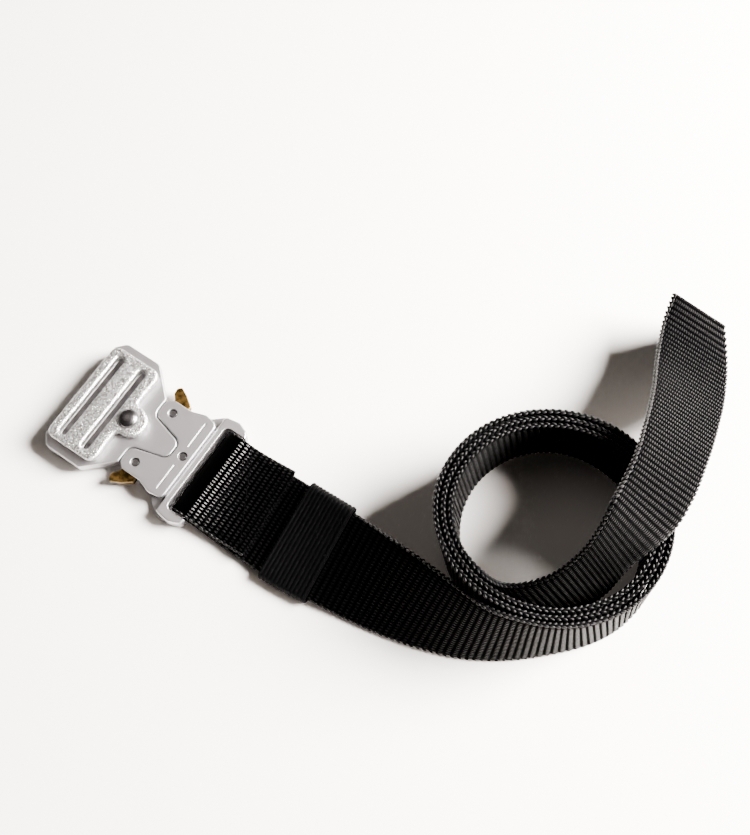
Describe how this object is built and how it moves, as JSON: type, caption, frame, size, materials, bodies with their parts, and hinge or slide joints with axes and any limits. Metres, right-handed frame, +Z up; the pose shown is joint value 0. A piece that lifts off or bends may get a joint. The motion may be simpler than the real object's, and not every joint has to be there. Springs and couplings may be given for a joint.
{
  "type": "tactical belt with quick-release buckle",
  "caption": "Woven webbing belt with a cast quick-release buckle, two side levers, a slotted strap frame and a keeper, lying in a loose coil with its free end leaning on the surface.",
  "frame": {"origin": "on the plane that the belt lies on, under the rivet in the middle of the buckle body, at the centre of its flat back", "axes": "+X along the buckle towards the strap, +Y across the buckle, +Z up from the surface"},
  "size_m": [0.2247, 0.193, 0.0736],
  "materials": {
    "cast_metal": "cast and tumbled, rough bright silver",
    "plate_metal": "bead blasted, satin silver grey",
    "rivet_metal": "plain steel rivets",
    "lever_brass": "satin brass",
    "webbing": "black woven nylon webbing with cross ribs",
    "keeper_webbing": "black ribbed elastic webbing"
  },
  "bodies": {
    "belt": {"buckle_body": "plate_metal", "front_plate": "plate_metal", "tongue_plate": "plate_metal", "adjuster_frame": "cast_metal", "dome_rivet": "rivet_metal", "ear_rivet_a": "rivet_metal", "ear_rivet_b": "rivet_metal", "centre_rivet": "rivet_metal", "webbing_strap": "webbing", "keeper_band": "keeper_webbing"},
    "lever_a": {"release_lever_a": "lever_brass"},
    "lever_b": {"release_lever_b": "lever_brass"}
  },
  "joints": [
    {"name": "lever_a_pivot", "type": "hinge", "parent": "belt", "child": "lever_a", "pos_m": [-0.0137, 0.0119, 0.0039], "axis": [0, 0, 1], "range_deg": [0, 10], "stiffness_Nm_per_rad": 0.02, "springref_deg": -11.46},
    {"name": "lever_b_pivot", "type": "hinge", "parent": "belt", "child": "lever_b", "pos_m": [-0.0137, -0.0119, 0.0039], "axis": [0, 0, -1], "range_deg": [0, 10], "stiffness_Nm_per_rad": 0.02, "springref_deg": -11.46}
  ]
}
